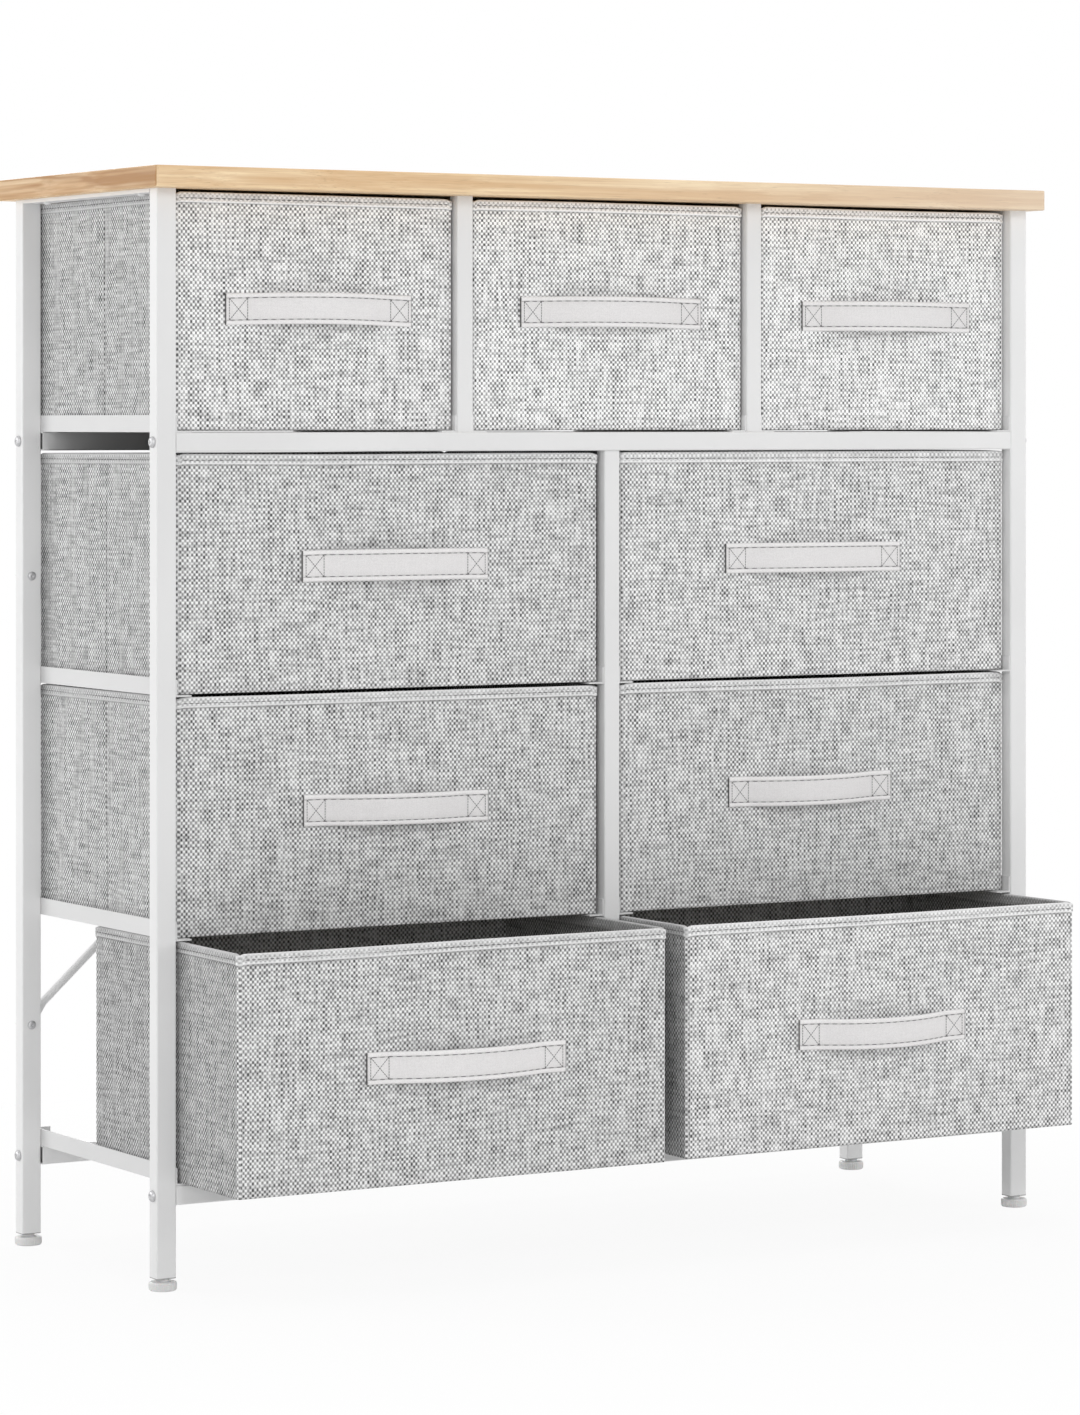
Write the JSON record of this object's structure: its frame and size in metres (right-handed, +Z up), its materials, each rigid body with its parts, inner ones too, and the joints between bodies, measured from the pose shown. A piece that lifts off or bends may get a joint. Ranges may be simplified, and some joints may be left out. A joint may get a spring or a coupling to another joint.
{
  "type": "fabric drawer dresser",
  "caption": "Wide chest of linen drawers in a white tubular steel frame under a light oak board, with strap handles and levelling feet.",
  "frame": {"origin": "on the floor, at the bottom centre of the whole object's box, with the two lowest drawers part open", "axes": "+Z up, +X to the right seen from the front, +Y from the front to the back"},
  "size_m": [1, 0.462, 1.03],
  "materials": {
    "white_steel": "white powder coat, satin",
    "white_plastic": "white moulded plastic",
    "oak_board": "light oak, satin",
    "grey_linen": "light grey speckled linen weave",
    "base_board": "plain thin fibreboard",
    "handle_webbing": "pale warm grey webbing with rolled white edges",
    "zinc_screw": "zinc plated screw and bolt heads"
  },
  "bodies": {
    "frame": {"top_board": "oak_board", "front_left_leg": "white_steel", "rear_left_leg": "white_steel", "front_right_leg": "white_steel", "rear_right_leg": "white_steel", "lower_front_rail": "white_steel", "lower_rear_rail": "white_steel", "upper_front_rail": "white_steel", "upper_rear_rail": "white_steel", "front_centre_post": "white_steel", "rear_centre_post": "white_steel", "left_runner_row1": "white_steel", "left_runner_row2": "white_steel", "left_runner_row3": "white_steel", "left_runner_row4": "white_steel", "right_runner_row1": "white_steel", "right_runner_row2": "white_steel", "right_runner_row3": "white_steel", "right_runner_row4": "white_steel", "centre_runner_row2": "white_steel", "centre_runner_row3": "white_steel", "centre_runner_row4": "white_steel", "left_divider_frame": "white_steel", "left_top_bar": "white_steel", "left_brace": "white_steel", "right_divider_frame": "white_steel", "right_top_bar": "white_steel", "right_brace": "white_steel"},
    "front_left_foot_body": {"front_left_foot": "white_plastic"},
    "rear_left_foot_body": {"rear_left_foot": "white_plastic"},
    "front_right_foot_body": {"front_right_foot": "white_plastic"},
    "rear_right_foot_body": {"rear_right_foot": "white_plastic"},
    "row1_left_drawer": {"row1_left_shell": "grey_linen", "row1_left_base_board": "base_board", "row1_left_handle": "handle_webbing"},
    "row1_middle_drawer": {"row1_middle_shell": "grey_linen", "row1_middle_base_board": "base_board", "row1_middle_handle": "handle_webbing"},
    "row1_right_drawer": {"row1_right_shell": "grey_linen", "row1_right_base_board": "base_board", "row1_right_handle": "handle_webbing"},
    "row2_left_drawer": {"row2_left_shell": "grey_linen", "row2_left_base_board": "base_board", "row2_left_handle": "handle_webbing"},
    "row2_right_drawer": {"row2_right_shell": "grey_linen", "row2_right_base_board": "base_board", "row2_right_handle": "handle_webbing"},
    "row3_left_drawer": {"row3_left_shell": "grey_linen", "row3_left_base_board": "base_board", "row3_left_handle": "handle_webbing"},
    "row3_right_drawer": {"row3_right_shell": "grey_linen", "row3_right_base_board": "base_board", "row3_right_handle": "handle_webbing"},
    "row4_left_drawer": {"row4_left_shell": "grey_linen", "row4_left_base_board": "base_board", "row4_left_handle": "handle_webbing"},
    "row4_right_drawer": {"row4_right_shell": "grey_linen", "row4_right_base_board": "base_board", "row4_right_handle": "handle_webbing"}
  },
  "joints": [
    {"name": "front_left_foot_turn", "type": "hinge", "parent": "frame", "child": "front_left_foot_body", "pos_m": [-0.48, -0.09, 0], "axis": [0, 0, -1], "range_deg": [0, 2160]},
    {"name": "rear_left_foot_turn", "type": "hinge", "parent": "frame", "child": "rear_left_foot_body", "pos_m": [-0.48, 0.204, 0], "axis": [0, 0, -1], "range_deg": [0, 2160]},
    {"name": "front_right_foot_turn", "type": "hinge", "parent": "frame", "child": "front_right_foot_body", "pos_m": [0.48, -0.09, 0], "axis": [0, 0, -1], "range_deg": [0, 2160]},
    {"name": "rear_right_foot_turn", "type": "hinge", "parent": "frame", "child": "rear_right_foot_body", "pos_m": [0.48, 0.204, 0], "axis": [0, 0, -1], "range_deg": [0, 2160]},
    {"name": "row1_left_slide", "type": "slide", "parent": "frame", "child": "row1_left_drawer", "axis": [0, -1, 0], "range_m": [0, 0.288]},
    {"name": "row1_middle_slide", "type": "slide", "parent": "frame", "child": "row1_middle_drawer", "axis": [0, -1, 0], "range_m": [0, 0.288]},
    {"name": "row1_right_slide", "type": "slide", "parent": "frame", "child": "row1_right_drawer", "axis": [0, -1, 0], "range_m": [0, 0.288]},
    {"name": "row2_left_slide", "type": "slide", "parent": "frame", "child": "row2_left_drawer", "axis": [0, -1, 0], "range_m": [0, 0.288]},
    {"name": "row2_right_slide", "type": "slide", "parent": "frame", "child": "row2_right_drawer", "axis": [0, -1, 0], "range_m": [0, 0.288]},
    {"name": "row3_left_slide", "type": "slide", "parent": "frame", "child": "row3_left_drawer", "axis": [0, -1, 0], "range_m": [0, 0.288]},
    {"name": "row3_right_slide", "type": "slide", "parent": "frame", "child": "row3_right_drawer", "axis": [0, -1, 0], "range_m": [0, 0.288]},
    {"name": "row4_left_slide", "type": "slide", "parent": "frame", "child": "row4_left_drawer", "axis": [0, -1, 0], "range_m": [-0.125, 0.163]},
    {"name": "row4_right_slide", "type": "slide", "parent": "frame", "child": "row4_right_drawer", "axis": [0, -1, 0], "range_m": [-0.119, 0.169]}
  ]
}
